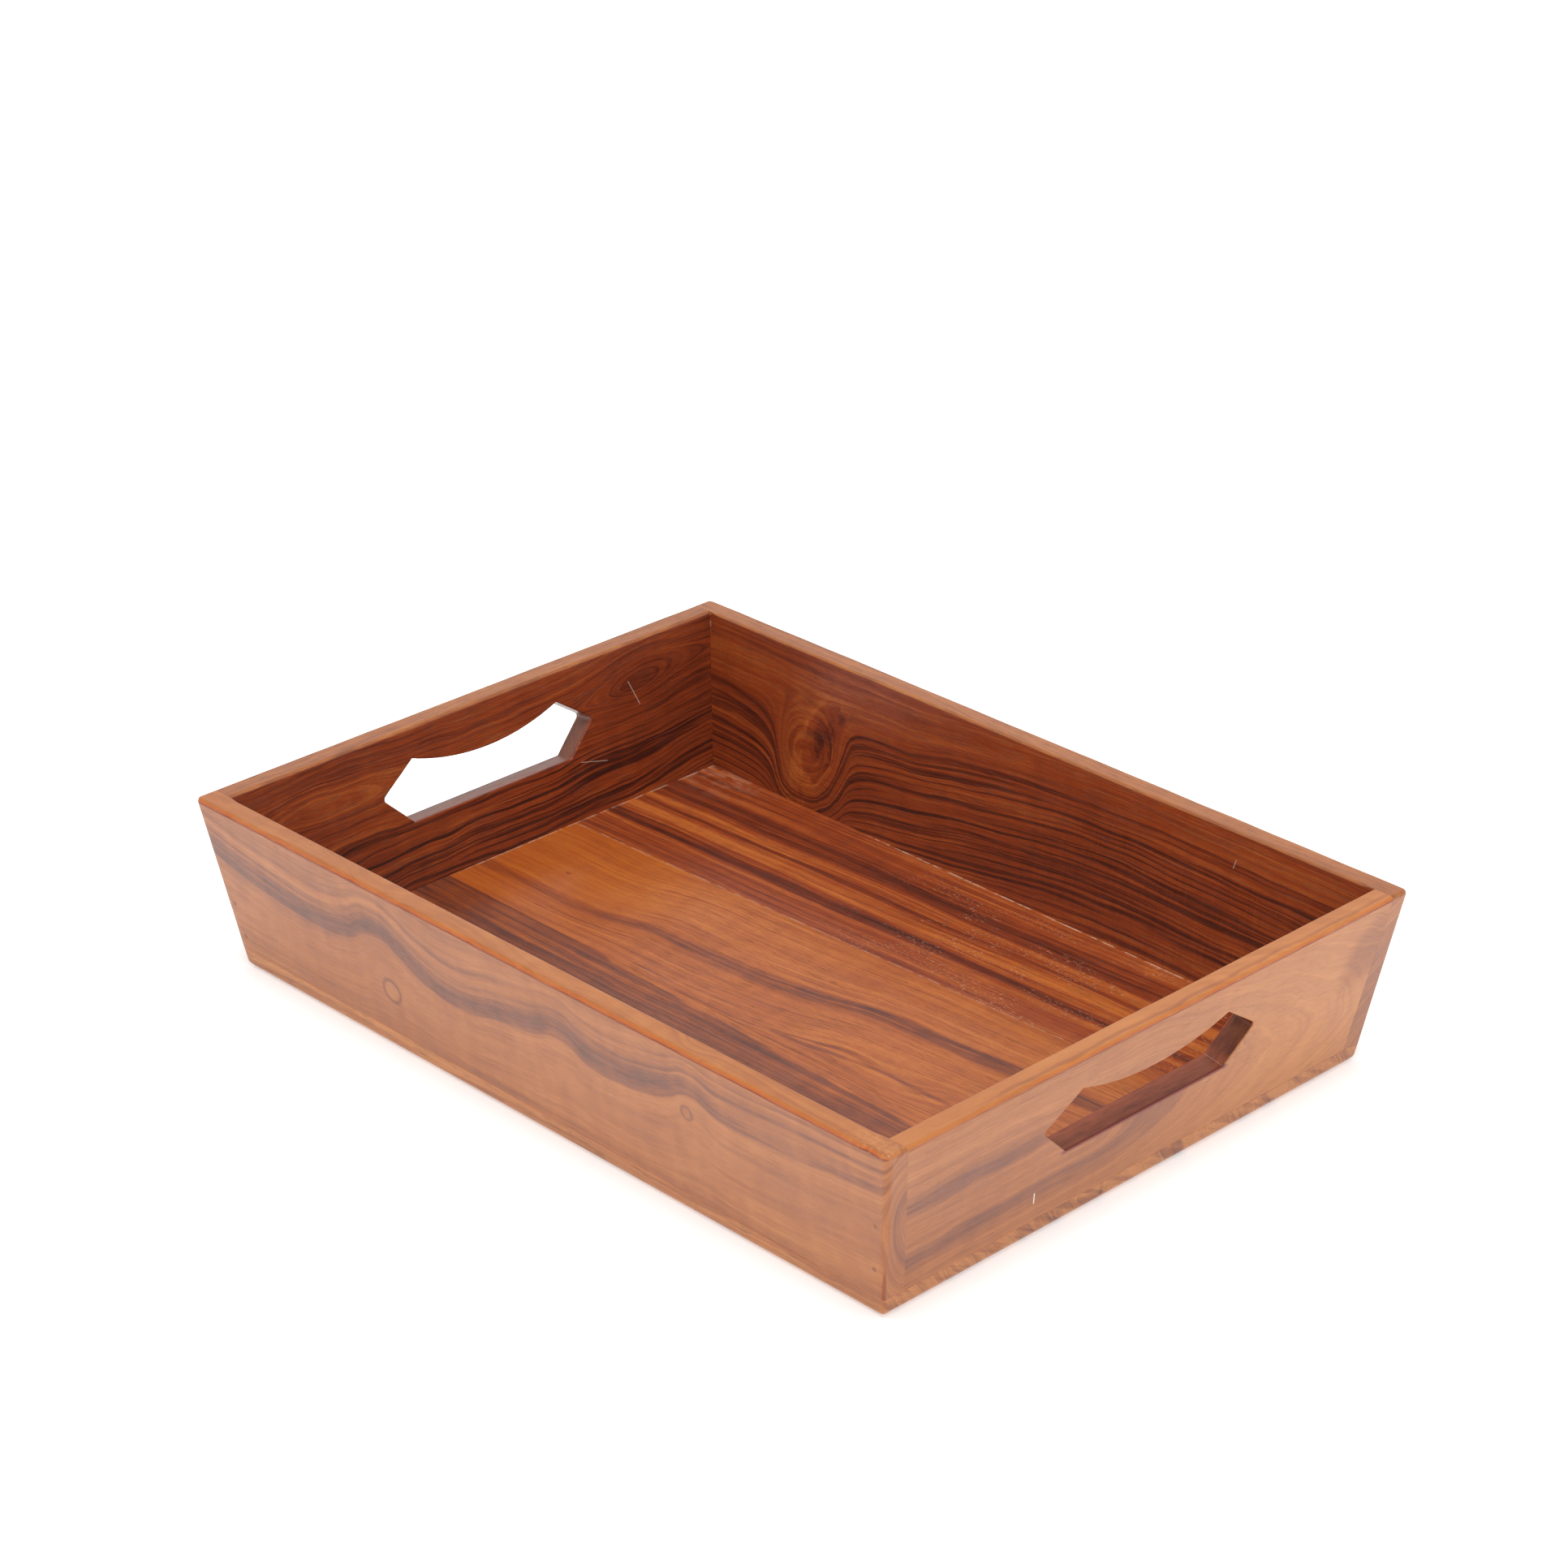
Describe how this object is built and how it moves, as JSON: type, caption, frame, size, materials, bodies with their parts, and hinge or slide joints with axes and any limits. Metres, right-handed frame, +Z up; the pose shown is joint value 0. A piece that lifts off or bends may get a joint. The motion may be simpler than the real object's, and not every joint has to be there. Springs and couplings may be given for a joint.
{
  "type": "serving tray",
  "caption": "Rectangular wooden serving tray with outward-leaning sides and a cut-out hand hole in each end board, for carrying food and drinks.",
  "frame": {"origin": "middle of the underside, on the surface that the tray stands on", "axes": "+X along the tray's length towards the right end board, +Y across it towards the back long board, +Z up"},
  "size_m": [0.3794, 0.2744, 0.0735],
  "materials": {
    "base_front_wood": "satin lacquer",
    "base_middle_wood": "satin lacquer",
    "base_back_wood": "satin lacquer",
    "side_front_wood": "satin lacquer",
    "side_back_wood": "satin lacquer",
    "end_left_wood": "satin lacquer",
    "end_right_wood": "satin lacquer",
    "brad_steel": "drawn wire",
    "wood_filler": "sanded flush"
  },
  "bodies": {
    "root": {"base_plank_front": "base_front_wood", "base_plank_middle": "base_middle_wood", "base_plank_back": "base_back_wood", "side_front": "side_front_wood", "side_back": "side_back_wood", "end_left": "end_left_wood", "end_right": "end_right_wood", "corner_brads": "brad_steel", "base_brads": "brad_steel", "corner_filler": "wood_filler", "base_filler": "wood_filler"}
  },
  "joints": []
}
